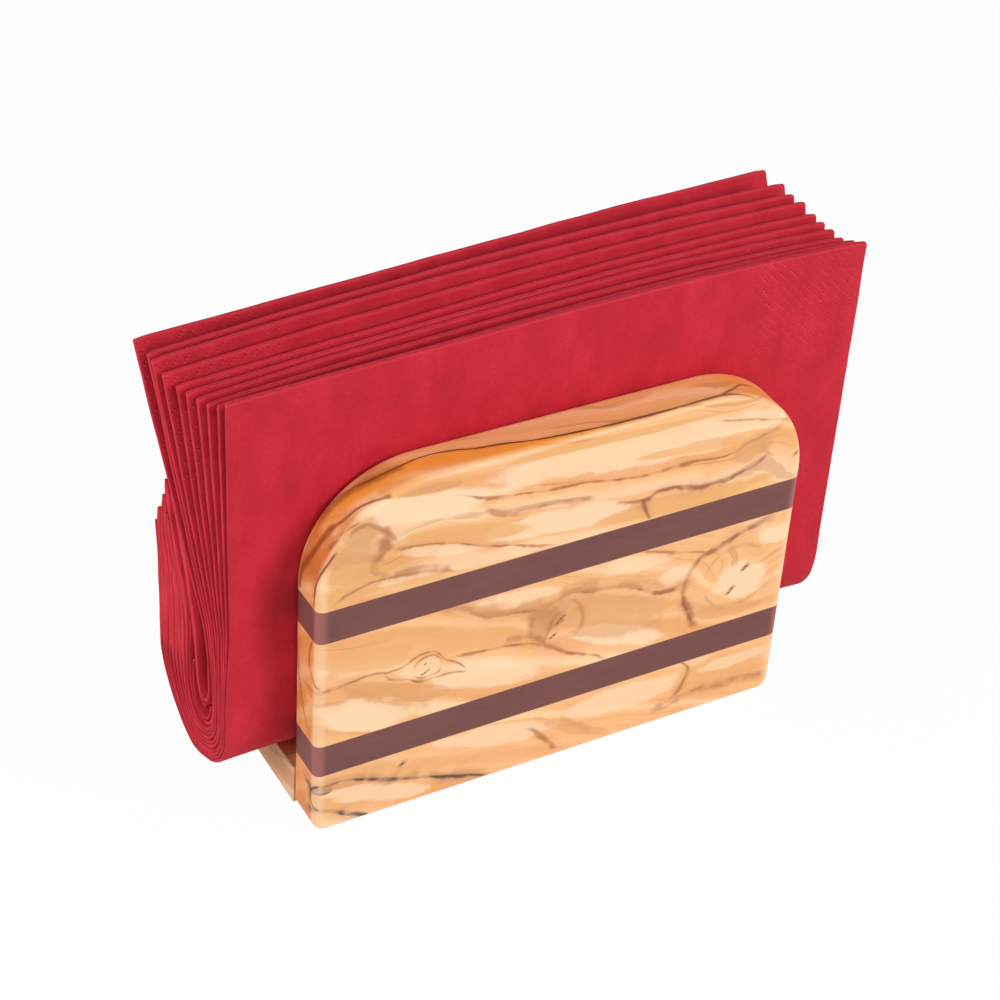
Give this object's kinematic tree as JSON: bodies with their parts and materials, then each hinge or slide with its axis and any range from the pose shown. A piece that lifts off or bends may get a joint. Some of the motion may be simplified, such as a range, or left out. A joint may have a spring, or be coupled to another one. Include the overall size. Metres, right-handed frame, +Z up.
{
  "type": "napkin holder",
  "caption": "Free-standing napkin holder of figured wood: upright panels with inlaid dark strips on a base board, with a bent stack of folded paper napkins standing in the slot.",
  "frame": {"origin": "middle of the holder's underside, on the surface it stands on", "axes": "+X along the panels to the right as seen from the front, +Y from the front panel to the back panel, +Z up"},
  "size_m": [0.174, 0.066, 0.1252],
  "materials": {
    "olive_wood": "oiled or satin-varnished olive wood, cream to orange-tan with dark brown veins",
    "dark_wood": "plain reddish-brown wood under the same satin finish",
    "dowel_wood": "plain pale beech, unfinished, out of sight",
    "napkin_tissue": "soft red tissue paper with a dotted embossed border"
  },
  "bodies": {
    "holder": {"front_upper_board": "olive_wood", "front_upper_strip": "dark_wood", "front_middle_board": "olive_wood", "front_lower_strip": "dark_wood", "front_lower_board": "olive_wood", "back_upper_board": "olive_wood", "back_upper_strip": "dark_wood", "back_middle_board": "olive_wood", "back_lower_strip": "dark_wood", "back_lower_board": "olive_wood", "base_board": "olive_wood", "front_dowel_left": "dowel_wood", "front_dowel_middle": "dowel_wood", "front_dowel_right": "dowel_wood", "back_dowel_left": "dowel_wood", "back_dowel_middle": "dowel_wood", "back_dowel_right": "dowel_wood"},
    "napkin_stack": {"napkin_1": "napkin_tissue", "napkin_2": "napkin_tissue", "napkin_3": "napkin_tissue", "napkin_4": "napkin_tissue", "napkin_5": "napkin_tissue", "napkin_6": "napkin_tissue", "napkin_7": "napkin_tissue", "napkin_8": "napkin_tissue", "napkin_9": "napkin_tissue", "napkin_10": "napkin_tissue"}
  },
  "joints": [
    {"name": "stack_lift", "type": "slide", "parent": "holder", "child": "napkin_stack", "axis": [0, 0, 1], "range_m": [0, 0.12]}
  ]
}
